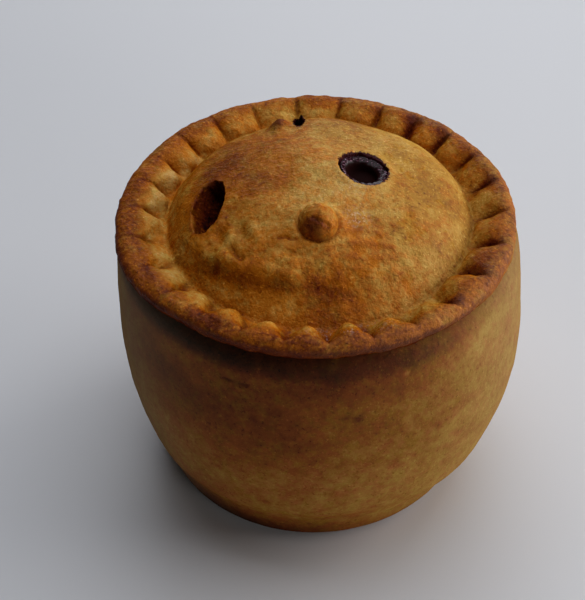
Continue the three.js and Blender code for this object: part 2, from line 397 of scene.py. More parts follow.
crimpTraits = [(between(lid["crimpHeights"], draw()), between(lid["crimpReaches"], draw()))
               for _ in range(pie["crimpCount"])]

# Steam holes: places and sizes in mm, turned in degrees; slant is mm sideways for each mm down;
# darkBelow is the depth in mm where a pit's painted shade is full
holes = {
    "right": {"x": 10.1, "y": 2.9, "long": 6.2, "short": 5.4, "turn": 104, "depth": 9.0,
              "slant": (0, 0), "torn": 0.07, "pointed": 0.05, "darkening": 0.0, "darkBelow": 0.4},
    "left": {"x": -24.1, "y": -5.3, "long": 7.9, "short": 3.5, "turn": 82, "depth": 9.0,
             "slant": (0.6, 0.05), "torn": 0.1, "pointed": 0.0, "darkening": 0.14, "darkBelow": 5.5},
    "rear": {"x": -4.5, "y": 27.2, "long": 4.4, "short": 1.35, "turn": 92, "depth": 9.0,
             "slant": (0, 0), "torn": 0.1, "pointed": 0.0, "darkening": 0.3, "darkBelow": 0.8},
}
holeLip = {"out": 0.7, "width": 0.8, "rise": 0.25}  # mm, round the right one

# Knob, in mm and degrees, with a dark spot painted at its front left as the shade on its side away
# from the light, and a crack through it
knob = {
    "x": 0.22, "y": -15.2, "radius": 4.3, "height": 4.8, "tilt": 11, "sunk": 3, "rings": 26,
    "sectors": 84,
    "collar": {"out": 1.0, "width": 0.5, "rise": 0.3},
    "lumps": [(1.6, 0.22), (0.8, 0.1)],  # size, height
    "crack": {"path": [(-1.3, -1.5), (0.1, -2.4), (2.1, -2.5)], "width": 0.3, "depth": 0.4},
    "crackTone": {"path": [(-1.3, -2.4), (0.1, -3.2), (2.1, -3.3)], "width": 0.45, "brown": 0.2},
    "brown": 0.38, "warm": 0.6,
    "dark": {"at": (-1.5, -3.9), "spread": 2.6, "brown": 0.36, "warmSpread": 3.0, "warm": 0.4},
    # lines round its foot, mm out and browning: painted shade in the crease at its foot and a
    # paler painted highlight along the ridge round it
    "footLines": [(0, 0.08), (1.1, -0.06)], "footLineWidth": 0.45,
}
# Blister: its browning sits a little to its lower left, partly painted shade on its side away from
# the light
blister = {
    "x": -8.9, "y": 24.4, "spread": 2.3, "rise": 2.1,
    "toneShift": -0.5, "toneSpread": 2.2, "brown": 0.2, "warm": 0.4,
}
# A bead of burnt juice behind the rear hole; its burnt tone sits a little further back
bead = {"x": -4.5, "y": 31.2, "spread": 1.45, "rise": 3.2, "toneY": 31.4, "toneSpread": 1.5,
        "brown": 0.7}


def outOfHole(x, y, hole):
    # mm outside a hole's edge, negative inside
    u, v = turned(x - hole["x"], y - hole["y"], -hole["turn"])
    return (np.hypot(u / hole["long"], v / hole["short"]) - 1) * hole["short"]


def lidRelief(x, y):
    # mm that folds, bumps and lips rise off the lid
    relief = sum(rise * nearPath(x, y, path, width) for path, width, rise, _ in lidMarks)
    for bump in (blister, bead):
        relief = relief + bump["rise"] * spotAt(x, y, bump["x"], bump["y"], bump["spread"])
    fromKnob = np.hypot(x - knob["x"], y - knob["y"]) - knob["radius"]
    for away, lip in ((fromKnob, knob["collar"]), (outOfHole(x, y, holes["right"]), holeLip)):
        relief = relief + lip["rise"] * bell(away, lip["out"], lip["width"])
    return relief


def buildLid():
    wide, tall = pie["rimRadius"], pie["rimHeight"]
    perCrimp = case["sectorsPerCrimp"]
    sectors = pie["crimpCount"] * perCrimp
    even = np.arange(sectors) * tau / sectors
    onDome = [(place, lid["crimp"][-1][1]) for place in lid["flank"]]
    crimp = np.array(lid["crimp"] + onDome)
    furrow = np.array(lid["furrow"] + onDome)
    where = ringPlaces(crimp * (wide - pie["lidRadius"], wide), lid["pitch"])
    crimp, furrow = smoothThrough(crimp, where), smoothThrough(furrow, where)
    into = furrow[:, :1]  # share of the way in from the lip
    first, last = lid["lipPoint"], len(lid["crimp"]) - 1.0
    inwards = clamp((where - first) / (last - first))[:, None]
    isFlank = clamp((where - last) / len(lid["flank"]))[:, None]
    angle = even + drift(even) * (1 - isFlank)
    height, reach = (np.repeat(trait, perCrimp) for trait in zip(*crimpTraits))
    droop = pie["rimSag"]
    sag = hump(angle, droop) * (1 - clamp((into - droop["from"]) / droop["over"]))
    neck = clamp((lid["neckPoint"] - where) / lid["neckOver"])[:, None]
    neck = pie["fullNeck"]["out"] * hump(angle, pie["fullNeck"]) * neck
    onLid = where[:, None] >= last
    gap = wide - between((lidEdge(angle), pie["lidRadius"]), isFlank)
    isTip = clamp((where - lid["reachPoint"]) / lid["reachOver"])
    isTip = np.where(where > last - 1, last - where, isTip).clip(0)[:, None]
    raiseR = -gap * height * (crimp[:, :1] - into + isTip * reach)
    raiseZ = wide * height * (crimp[:, 1:] - furrow[:, 1:])
    short = pie["shortFurrows"]
    filled = short["fill"] * hump(angle, short) * (1 - ease(into, *short["shares"]))
    filled = np.maximum(pie["softFurrows"]["fill"] * hump(angle, pie["softFurrows"]), filled)
    furrowR = wide - gap * into + wide * (droop["out"] * sag + neck) + filled * raiseR
    furrowZ = wide * (furrow[:, 1:] - droop["down"] * sag) + filled * raiseZ
    x, y = furrowR * np.cos(angle), furrowR * np.sin(angle)
    z = np.where(onLid, lidHeight(x, y) + isFlank * lidRelief(x, y), tall + furrowZ)
    raised = np.stack([raiseR * np.cos(angle), raiseR * np.sin(angle), raiseZ], -1)
    raised = raised * (1 - filled)[..., None] * ~onLid[..., None]
    # square grid, pressed into a disc whose edge has the last ring's points
    side = sectors // 4
    u, v = np.meshgrid(np.linspace(-1, 1, side + 1), np.linspace(-1, 1, side + 1), indexing="ij")
    isWide = abs(u) > abs(v)
    with np.errstate(divide="ignore", invalid="ignore"):
        turn = np.nan_to_num(np.where(isWide, np.pi / 4 * v / u, np.pi / 2 - np.pi / 4 * u / v))
    span = (wide - (wide - pie["lidRadius"]) * lid["flank"][-1]) * np.where(isWide, u, v)
    gridX, gridY = span * np.cos(turn), span * np.sin(turn)
    gridZ = lidHeight(gridX, gridY) + lidRelief(gridX, gridY)
    inner = np.stack([gridX, gridY, gridZ], -1)[1:-1, 1:-1].reshape(-1, 3)
    ringCount = len(where)
    total = ringCount * sectors
    under = tall + wide * lid["crimp"][0][1]
    points = np.vstack([np.stack([x, y, z], -1).reshape(-1, 3), inner, [(0, 0, under)]])
    onRing = np.round(np.arctan2(gridY, gridX) / tau * sectors) % sectors
    number = (total - sectors + onRing).astype(int)
    number[1:-1, 1:-1] = total + np.arange((side - 1) ** 2).reshape(side - 1, side - 1)
    quads = np.stack([number[:-1, :-1], number[1:, :-1], number[1:, 1:], number[:-1, 1:]], -1)
    faces = gridFaces(ringCount, sectors) + quads.reshape(-1, 4).tolist()
    faces += [(len(points) - 1, (s + 1) % sectors, s) for s in range(sectors)]
    obj = meshObject("pieLid", points, faces)
    rest = len(points) - total
    layer = obj.data.attributes.new("raise", "FLOAT_VECTOR", "POINT")
    raised = np.vstack([raised.reshape(-1, 3), np.zeros((rest, 3))])
    layer.data.foreach_set("vector", raised.ravel() * mm)
    across = np.tile(np.arange(sectors) % perCrimp / perCrimp, ringCount)
    narrow = hump(angle, pie["narrowTips"]) * ease(into, *pie["narrowTips"]["shares"])
    x, y, z = points.T
    rim = 1 - ease(lidEdge(np.arctan2(y, x)) - np.hypot(x, y), *lid["rimEnds"])
    rough = 1 + lid["rimRoughness"] * rim
    for atX, atY, spread, more in lid["roughSpots"]:
        rough = rough + more * spotAt(x, y, atX, atY, spread)
    setAttributes(obj, across=np.append(across, np.zeros(rest)),
                  inwards=np.append(np.repeat(inwards, sectors), np.ones(rest)),
                  narrow=np.append(narrow, np.zeros(rest)), rough=rough)
    return obj


# Geometry Nodes: raises the crimps out of the furrows, then roughens the baked skin; sizes in m.
# A wave across each crimp is taken to a power, so that a lower power makes a flatter, wider crimp
pastrySkin = {
    "Crimp height": 1.0, "Lip power": 0.5, "Tip power": 0.55, "Front power": 1.3,
    "Lump size": 0.009, "Lump height": 0.0003, "Dimple size": 0.0034, "Dimple height": 0.0005,
    "Grain size": 0.0013,  # real crumb is 0.2 to 0.4 mm, too fine to show, so it's drawn coarser
    "Grain height": 0.00015, "Seed": 3.0,
}
flatFoot = (0.0002, 0.004)  # m above the table, between which the roughness comes in


def pastryTree():
    tree = bpy.data.node_groups.new("raisePastry", "GeometryNodeTree")
    add = partial(addNode, tree)
    face = tree.interface
    face.new_socket("Geometry", in_out="INPUT", socket_type="NodeSocketGeometry")
    for name, value in pastrySkin.items():
        socket = face.new_socket(name, in_out="INPUT", socket_type="NodeSocketFloat")
        socket.default_value = value
    face.new_socket("Pastry", in_out="INPUT", socket_type="NodeSocketMaterial")
    face.new_socket("Geometry", in_out="OUTPUT", socket_type="NodeSocketGeometry")
    given = add("NodeGroupInput").node.outputs
    across, inwards, narrow, rough = (
        add("GeometryNodeInputNamedAttribute", {"Name": name})
        for name in ("across", "inwards", "narrow", "rough"))
    turn = add("ShaderNodeMath", [across, math.pi], operation="MULTIPLY")
    wave = add("ShaderNodeMath", [turn], operation="SINE")
    wave = add("ShaderNodeMath", [wave, 0.0], operation="MAXIMUM")
    power = add("ShaderNodeMix", {0: inwards, 2: given["Lip power"], 3: given["Tip power"]})
    power = add("ShaderNodeMix", {0: narrow, 2: power, 3: given["Front power"]})
    share = add("ShaderNodeMath", [wave, power], operation="POWER")
    share = add("ShaderNodeMath", [share, given["Crimp height"]], operation="MULTIPLY")
    lift = add("GeometryNodeInputNamedAttribute", {"Name": "raise"}, data_type="FLOAT_VECTOR")
    lift = add("ShaderNodeVectorMath", {0: lift, "Scale": share}, operation="SCALE")
    crimped = add("GeometryNodeSetPosition", {"Geometry": given["Geometry"], "Offset": lift})
    # relief along the normal
    place = add("GeometryNodeInputPosition")
    relief = 0.0
    for kind in ("Lump", "Dimple", "Grain"):
        scale = add("ShaderNodeMath", [1.0, given[kind + " size"]], operation="DIVIDE")
        pattern = add("ShaderNodeTexNoise",
                      {"Vector": place, "W": given["Seed"], "Scale": scale, "Detail": 2.0,
                       "Roughness": 0.55}, noise_dimensions="4D")
        pattern = add("ShaderNodeMath", [pattern, 0.5], operation="SUBTRACT")
        relief = add("ShaderNodeMath", [pattern, given[kind + " height"], relief],
                     operation="MULTIPLY_ADD")
    relief = add("ShaderNodeMath", [relief, rough], operation="MULTIPLY")
    height = add("ShaderNodeSeparateXYZ", [place], output="Z")
    standing = add("ShaderNodeMapRange",
                   {"Value": height, "From Min": flatFoot[0], "From Max": flatFoot[1]})
    relief = add("ShaderNodeMath", [relief, standing], operation="MULTIPLY")
    normal = add("GeometryNodeInputNormal")
    push = add("ShaderNodeVectorMath", {0: normal, "Scale": relief}, operation="SCALE")
    baked = add("GeometryNodeSetPosition", {"Geometry": crimped, "Offset": push})
    whole = add("GeometryNodeRealizeInstances", [baked])
    dressed = add("GeometryNodeSetMaterial", {0: whole, "Material": given["Pastry"]})
    add("NodeGroupOutput", [dressed])
    return tree


def raisePastry(obj, tree, values):
    # runs the tree on a piece with its own values and keeps the result as a plain mesh
    modifier = obj.modifiers.new("raisePastry", "NODES")
    modifier.node_group = tree
    sockets = {item.name: item.identifier for item in tree.interface.items_tree
               if item.in_out == "INPUT"}
    for name, value in values.items():
        modifier[sockets[name]] = value
    return settle(obj)


def turnedObject(name, profile, sectors, place):
    # a closed lathe body through (radius, height) points that start and end on the axis; each
    # point then goes where place(angle, radius, height) says
    angle = np.arange(sectors) * tau / sectors
    r, z = (np.repeat(column[:, None], sectors, 1) for column in np.array(profile[1:-1]).T)
    x, y, z = place(np.broadcast_to(angle, r.shape), r, z)
    ends = [np.ravel(place(0.0, 0.0, profile[end][1])) for end in (0, -1)]
    points = np.vstack([np.stack([x, y, z], -1).reshape(-1, 3), ends])
    return meshObject(name, points, gridFaces(len(r), sectors) + capFaces(len(r), sectors))


def smallNoise(x, y, z, scale, spread=0.0):
    # noise between about -1 and 1, its features scale mm wide
    flat = np.stack(np.broadcast_arrays(x, y, z), -1).reshape(-1, 3) / scale + spread
    return np.array([noise.noise(p) for p in flat.tolist()]).reshape(np.broadcast(x, y, z).shape)


def combine(obj, tool, operation):
    # joins the tool to the object or cuts it out, and removes the tool
    modifier = obj.modifiers.new(operation, "BOOLEAN")
    modifier.operation = operation
    modifier.solver = "MANIFOLD"
    modifier.object = tool
    settle(obj)
    mesh = tool.data
    bpy.data.objects.remove(tool)
    bpy.data.meshes.remove(mesh)


# Pit under a steam hole, its edge torn in small steps
pit = {
    # radius as a share of the hole's, then height as a share of its depth or in mm over the lid
    "below": [(0, -1), (0.3, -1), (0.62, -1), (0.74, -0.8), (0.86, -0.6), (0.93, -0.4),
              (0.97, -0.2)],
    "above": [(1, -0.9), (1.01, -0.3), (1.04, 0.3), (1.06, 1.2), (1.07, 3), (1.08, 14), (0, 14)],
    "tears": [(1.1, 1.0, 9.0), (0.35, 0.6, 4.0)],  # size, strength and seed
    "tearPlaces": (3, 0.4),  # how fast the tears change round the hole and down it
    "sectors": 132,
}


def buildPit(hole):
    profile = [(share, deep * hole["depth"]) for share, deep in pit["below"]] + pit["above"]
    ground = float(lidHeight(hole["x"], hole["y"]))
    wide, tall = pit["tearPlaces"]

    def place(angle, r, z):
        around = wide * np.cos(angle), wide * np.sin(angle), tall * z
        tears = sum(strength * smallNoise(*around, size, start)
                    for size, strength, start in pit["tears"])
        ragged = 1 + hole["torn"] * tears - hole["pointed"] * np.sin(2 * angle) ** 2
        u = hole["long"] * r * ragged * np.cos(angle)
        v = hole["short"] * r * ragged * np.sin(angle)
        x, y = turned(u, v, hole["turn"])
        x, y = hole["x"] + x, hole["y"] + y
        down = np.maximum(0, lidHeight(x, y) - ground - z)
        return x + hole["slant"][0] * down, y + hole["slant"][1] * down, ground + z

    return turnedObject("pit", profile, pit["sectors"], place)


def buildKnob():
    turns = np.linspace(0, math.pi / 2, knob["rings"])[:-1]
    wide, tall = knob["radius"], knob["height"]
    profile = [(0, -knob["sunk"]), (wide, -knob["sunk"])]
    profile += [(wide * math.cos(t), tall * math.sin(t)) for t in turns] + [(0, tall)]
    ground = float(lidHeight(knob["x"], knob["y"]))

    def place(angle, r, z):
        x, y = r * np.cos(angle), r * np.sin(angle)
        lump = sum(rise * smallNoise(x, y, z, size) for size, rise in knob["lumps"])
        crack = nearPath(x, y, knob["crack"]["path"], knob["crack"]["width"])
        grow = 1 + (lump - knob["crack"]["depth"] * crack) * clamp(z) / wide
        y, z = turned(y * grow, z * grow, knob["tilt"])
        return knob["x"] + x * grow, knob["y"] + y, ground + z

    return turnedObject("knob", profile, knob["sectors"], place)


def crimpPlace(angle):
    # the number of the crimp an angle lies in, and how far across it
    even = angle
    for _ in range(6):  # rounds; more change next to nothing
        even = angle - drift(even)
    place = even / tau * pie["crimpCount"] % pie["crimpCount"]
    return place.astype(int) % pie["crimpCount"], place % 1


# Browning runs from 0, pale dough, to 1, burnt, and warmth from 0, yellowish, to 1, reddish;
# in places both also carry painted shade and painted light
lidBake = {
    # of the lip and of the crimps' inner tips: browning, then more of it at places round the rim
    "lip": (0.57, [(350, 60, 0.04), (258, 26, 0.02), (315, 14, -0.03), (207, 14, 0.06)]),
    "tips": (0.42, [(200, 60, -0.08), (350, 60, 0.1), (95, 40, -0.02)]),
    # of the dome, browner round the shaded left and front: partly painted shade
    "top": (0.37, [(200, 70, 0.04), (265, 50, 0.05)]),
    "middle": 0.3,  # of the dome, passing into "top" between these mm from the middle
    "middleEnds": (4, 16),
    "tallCrimps": 0.32,  # more browning for each share that a crimp is higher than usual
    # shares of the way in from the lip to the dome where one tone passes into the next
    "lipEnds": (0.3, 0.72),
    "furrowStarts": (0.12, 0.3),
    "furrowEnds": (0.7, 0.95),
    "domeStarts": (0.92, 1.08),
    "footLine": (1.08, 0.06, 0.06),  # share of the way in, width, browning
    # furrows: browning of all, partly painted shade in their creases, widths in mm of pale and of
    # burnt ones, then the burnt ones, each with its degrees and browning; these dark hollows at
    # the right are burnt and also carry painted shade
    "furrow": 0.14,
    "furrowWidths": (0.6, 1.6),
    "furrowSpread": 4,  # degrees
    "burntWidening": 6,  # how fast a furrow widens with its browning
    "furrows": [(55, 0.1), (42, 0.06), (14, 0.05), (345, 0.04), (328, 0.06), (312, 0.1)],
    "darkestRim": 0.8,
    "scorchStarts": (0.6, 0.8),  # browning of the rim where it turns maroon
    "speckle": {"size": 0.6, "strength": 0.16, "ends": (0.3, 0.5)},
    # painted shade with some real browning on the underside of the lip, from mm over rimHeight
    # down: browning, paler round the lit right
    "underside": {"brown": 0.84, "paler": 0.4, "angle": 358, "spread": 40, "top": 1.1, "over": 1.5,
                  "ends": (0.2, 0.4)},
    # warmth at the shaded left and at the lit right, and what the dome has more at its shaded
    # front:
    # the redder left and front are painted shade
    "domeWarmth": (0.74, 0.16),
    "frontWarmth": {"angle": 262, "spread": 45, "more": 0.24, "starts": (16, 30)},
    "rimWarmth": (0.95, 0.85),
    "rightSide": (-26, 26, 0.5),  # mm where left passes into right, and its slant
    "coolerTips": (0.35, 0.4, 0.7),  # how much, between these shares of the way in
    "markSpread": 1.15,  # of the marks' browning beside their relief
    "holeEdge": (0.24, -0.5),  # mm, width of the scorched line and how far in it goes
    # a pit's tone darkens with depth, the deep part painted shade
    "pitTones": (0.78, 0.93),  # of a pit's upper and lower part
    "pitStarts": (0.1, 0.6),  # mm under the lid
    "pitReach": 1.2,  # mm off a hole's edge
    "knobEdge": (-0.4, 0.6),  # mm, where its tone passes into the dome's
    # a painted pale sheen: on the lip, more of it at the lit right, and on the dome's lit right
    "lipSheen": (0.02, 0.12),
    "lipSheenSide": (-10, 30),  # mm
    "lipSheenEnds": (0.1, 0.5),
    "domeSheen": 0.07,
    # glints of egg glaze: on the front crimps, and x, y, spread and strength on the dome
    "rimGlint": {"angle": 280, "spread": 12, "starts": (0.25, 0.5)},
    "domeGlints": [(8.5, -12.5, 2.5, 1.0), (8, -2.5, 3.5, 0.5)],
    # marks on the crimps, degrees and mm out of both ends of a line, its width, browning: scorched
    # hollows at the right that also carry painted shade, painted shadows beside the furrows at the
    # left and in the gaps between the front fingers, and pale tiles
    "rimMarks": [
        (315, 40.5, 317, 42, 1.2, 0.14), (331, 36.5, 332, 40.5, 2.0, 0.22),
        (336.5, 37, 337, 39, 1.6, 0.1), (345, 36.5, 347, 39.5, 1.7, 0.2),
        (0, 35.5, 2, 39, 1.5, 0.14), (14.5, 37, 17.5, 40.5, 1.6, 0.18),
        (29, 37, 30, 39, 1.2, 0.08), (43, 37, 45.5, 40.5, 1.3, 0.18),
        (55, 36.5, 56.5, 40, 1.7, 0.28), (69, 37, 70.5, 39, 1.5, 0.1),
        (84, 36.5, 89, 37.5, 1.5, 0.08), (139.5, 34, 140, 38, 0.9, 0.1),
        (166, 34, 167, 37.5, 1.0, 0.12), (179, 34, 179.5, 38, 1.0, 0.12),
        (193, 34, 195, 37, 1.1, 0.12), (131, 35, 136, 35, 1.8, -0.13),
        (143, 34.5, 148, 35, 1.8, -0.16), (154, 34.5, 162, 35.5, 1.9, -0.17),
        (170, 34.5, 176, 36.5, 2.0, -0.17), (183, 35.5, 190, 37, 2.0, -0.12),
        (197, 35.5, 204, 37.5, 1.8, -0.06), (211, 35.3, 217, 39.5, 1.5, -0.08),
        (223, 35.3, 230, 39, 1.6, -0.08), (236.5, 35, 243, 39.5, 1.5, -0.08),
        (252, 35.5, 256, 39, 1.4, -0.07), (267, 35.3, 267.5, 39, 1.2, -0.07),
        (281, 35.5, 281, 39, 1.3, -0.10), (293, 35.5, 294, 39, 1.3, -0.07),
        (304, 35.5, 306, 39, 1.4, -0.04), (314, 35.5, 316, 39, 1.5, -0.16),
        (260.5, 34.5, 260.5, 39, 1.5, 0.28), (272.5, 34.5, 272.5, 39, 1.5, 0.28),
        (243, 34.5, 248, 38.5, 1.1, 0.22), (286.5, 35, 286.5, 38.5, 1.2, 0.2),
        (231, 34, 233.5, 37.5, 1.0, 0.3), (217, 34, 220, 37.5, 1.0, 0.3),
        (204.5, 34, 207, 37, 1.0, 0.22), (298.5, 35, 298.5, 38.5, 1.1, 0.12),
        (234, 42.5, 240, 42.5, 1.8, 0.2), (205, 42, 220, 42, 1.3, 0.08),
    ],
    # broad patches on the dome: x, y, spread in mm, browning, warmth. The browner ones over the
    # left half are partly painted shade, and the pale one just in front of the right hole is a
    # painted sheen
    "patches": [
        (-15, 12, 11, 0.1, 0.3), (-13, -1, 6, 0.16, 0.2), (-20, -11, 4, 0.2, 0.3),
        (8, 27, 7, 0.2, 0.1), (-24, 21, 8, 0.13, 0.1), (-9, -1, 4, 0.07, 0.1),
        (1, -33, 5, 0.12, 0.2), (-8, 17, 3.5, -0.1, 0.2), (20, 5, 5, -0.1, -0.1),
        (27, -25.5, 5, -0.1, -0.1), (-8, -16, 3.5, -0.06, 0), (-26, 0, 5, 0.06, 0.1),
        (-24, 5, 4, 0.06, 0.2), (10, -5.5, 3.5, -0.1, -0.1), (26, 2, 12, 0.2, -0.1),
        (27, 6, 4, -0.08, 0), (27, -16, 7, 0.07, 0), (2, 14, 8, 0.05, 0),
        (-23, 10, 8, 0.09, -0.2), (-25, -24, 4.5, 0.03, -0.12), (-17, -29, 4, 0.1, 0.05),
        (-28, -9, 4, 0.04, 0.2), (14, 20, 10, 0.02, -0.2), (12, -19, 9, 0.0, 0.22),
        (1, -28, 1.6, 0.1, 0.3), (3, -29.5, 1.4, 0.08, 0.3), (8, -31, 1.6, 0.1, 0.3),
        (-8, -27, 1.5, 0.08, 0.3), (0, -20, 11, -0.08, 0.0), (-20, -14, 6, -0.08, -0.1),
        (3, 26, 7, 0.03, 0), (3, -12, 4, -0.03, 0), (20, -26, 6, -0.05, -0.1),
        (-11, -9, 6, -0.05, -0.2), (31, -8, 5, -0.06, -0.3), (2, -27, 6, 0.06, 0.3),
        (5, -24, 9, 0.03, 0.12),
    ],
}


def roundRim(tone, angle):
    # a tone, with more of it at places round the pie
    base, more = tone
    return base + sum(size * humpAt(angle, degrees, spread) for degrees, spread, size in more)


def paintLid(obj):
    bake = lidBake
    x, y, z = pointsOf(obj).T
    wide, tall = pie["rimRadius"], pie["rimHeight"]
    angle, r = np.arctan2(y, x), np.hypot(x, y)
    inward = (wide - r) / (wide - lidEdge(angle))
    number, across = crimpPlace(angle)
    toFurrow = np.minimum(across, 1 - across) * tau * r / pie["crimpCount"]
    onDome = ease(inward, *bake["domeStarts"])
    # where the shaded left passes into the lit right
    start, end, slant = bake["rightSide"]
    right = ease(x + slant * y, start, end)
    # rim
    tones = roundRim(bake["lip"], angle), roundRim(bake["tips"], angle)
    rim = between(tones, ease(inward, *bake["lipEnds"]))
    rim = rim + bake["tallCrimps"] * (np.array(crimpTraits)[number, 0] - 1)
    # darker furrows: burning and painted shade in the creases
    burnAndShade = sum(size * humpAt(angle, degrees, bake["furrowSpread"])
               for degrees, size in bake["furrows"])
    burnt = bell(toFurrow, 0, between(bake["furrowWidths"], clamp(bake["burntWidening"] * burnAndShade)))
    inFurrow = ease(inward, *bake["furrowStarts"]) * (1 - ease(inward, *bake["furrowEnds"]))
    rim = rim + (bake["furrow"] + burnAndShade) * inFurrow * burnt
    # scorched hollows with painted shade, painted shadows beside furrows and in gaps, and pale
    # tiles
    for turn, out, endTurn, endOut, width, size in bake["rimMarks"]:
        ends = [(math.radians(turn), out), (math.radians(endTurn), endOut)]
        path = [(far * math.cos(a), far * math.sin(a)) for a, far in ends]
        rim = rim + size * nearPath(x, y, path, width)
    speckle = bake["speckle"]
    specks = smallNoise(x, y, z, speckle["size"]) * (1 - ease(inward, *speckle["ends"]))
    rim = np.minimum(rim + speckle["strength"] * specks, bake["darkestRim"])
    # painted shade under the lip, with some real browning, paler round the lit right
    below = bake["underside"]
    under = ease(tall + below["top"] - z, 0, below["over"]) * (1 - ease(inward, *below["ends"]))
    rim = between((rim, below["brown"] - below["paler"] * hump(angle, below)), under)
    # dome
    # browner on the shaded left and front: partly painted shade
    dome = roundRim(bake["top"], angle)
    dome = between((bake["middle"], dome), ease(r, *bake["middleEnds"]))
    front = bake["frontWarmth"]
    # redder on the shaded left and front: painted shade
    warm = between(bake["domeWarmth"], right)
    warm = warm + front["more"] * hump(angle, front) * ease(r, *front["starts"])
    cooler, *ends = bake["coolerTips"]
    rimWarm = between(bake["rimWarmth"], right) - cooler * ease(inward, *ends)
    warm = between((rimWarm, warm), onDome)
    warm = between((warm, 1.0), (1 - onDome) * ease(rim, *bake["scorchStarts"]))
    # the browner patches over the left half are partly painted shade; the pale one in front of the
    # right hole is a painted sheen
    for atX, atY, spread, size, warmer in bake["patches"]:
        spot = spotAt(x, y, atX, atY, spread)
        dome, warm = dome + size * spot, warm + warmer * spot
    # the marks' browning: in places painted shade and light on their relief
    for path, width, _, size in lidMarks:
        dome = dome + size * nearPath(x, y, path, bake["markSpread"] * width)
    share, width, size = bake["footLine"]
    dome = dome + size * bell(inward, share, width)
    brown = between((rim, dome), onDome)
    # holes
    deep = lidHeight(x, y) + lidRelief(x, y) - z
    upper, lower = bake["pitTones"]
    lineWidth, lineEnd = bake["holeEdge"]
    start, end = bake["pitStarts"]
    # each pit darkens with depth: painted shade
    for hole in holes.values():
        out = outOfHole(x, y, hole)
        near, dark = out < bake["pitReach"], hole["darkBelow"]
        brown = brown + hole["darkening"] * bell(out, 0, lineWidth) * (out > lineEnd)
        inPit = ease(deep, start, min(end, dark)) * near
        brown, warm = between((brown, upper), inPit), between((warm, 1.0), inPit)
        brown = between((brown, lower), ease(deep, 0.5 * dark, dark) * near)
    # knob, blister and bead
    dark, tone = knob["dark"], knob["crackTone"]
    kx, ky = x - knob["x"], y - knob["y"]
    fromKnob = np.hypot(kx, ky) - knob["radius"]
    onKnob = 1 - ease(fromKnob, *bake["knobEdge"])
    # the dark spot at the knob's front left is painted shade
    knobBrown = knob["brown"] + dark["brown"] * spotAt(kx, ky, *dark["at"], dark["spread"])
    knobBrown = knobBrown + tone["brown"] * nearPath(kx, ky, tone["path"], tone["width"])
    knobWarm = knob["warm"] + dark["warm"] * spotAt(kx, ky, *dark["at"], dark["warmSpread"])
    brown, warm = between((brown, knobBrown), onKnob), between((warm, knobWarm), onKnob)
    # painted shade in the crease at the knob's foot, a painted highlight on the ridge round it
    for out, size in knob["footLines"]:
        brown = brown + size * bell(fromKnob, out, knob["footLineWidth"])
    # the blister's browning, shifted to its lower left: partly painted shade
    shift = blister["toneShift"]
    spot = spotAt(x, y, blister["x"] + shift, blister["y"] + shift, blister["toneSpread"])
    brown, warm = brown + blister["brown"] * spot, warm + blister["warm"] * spot
    brown = brown + bead["brown"] * spotAt(x, y, bead["x"], bead["toneY"], bead["toneSpread"])
    # painted sheen on the lip, more at the lit right, and on the dome's lit right
    dust = between(bake["lipSheen"], ease(x, *bake["lipSheenSide"]))
    dust = dust * (1 - onDome) * (1 - ease(inward, *bake["lipSheenEnds"]))
    dust = dust + bake["domeSheen"] * onDome * right
    dust = dust * (deep < bake["pitStarts"][0])
    glint = bake["rimGlint"]
    shine = hump(angle, glint) * (1 - onDome) * ease(inward, *glint["starts"])
    for atX, atY, spread, strength in bake["domeGlints"]:
        shine = shine + strength * spotAt(x, y, atX, atY, spread)
    juicy = [outOfHole(x, y, holes[side]) for side in ("right", "rear")]
    setAttributes(obj, brown=clamp(brown), warm=clamp(warm), dust=clamp(dust),
                  shine=clamp(shine), fromHole=np.clip(np.minimum(*juicy), -1, 3))


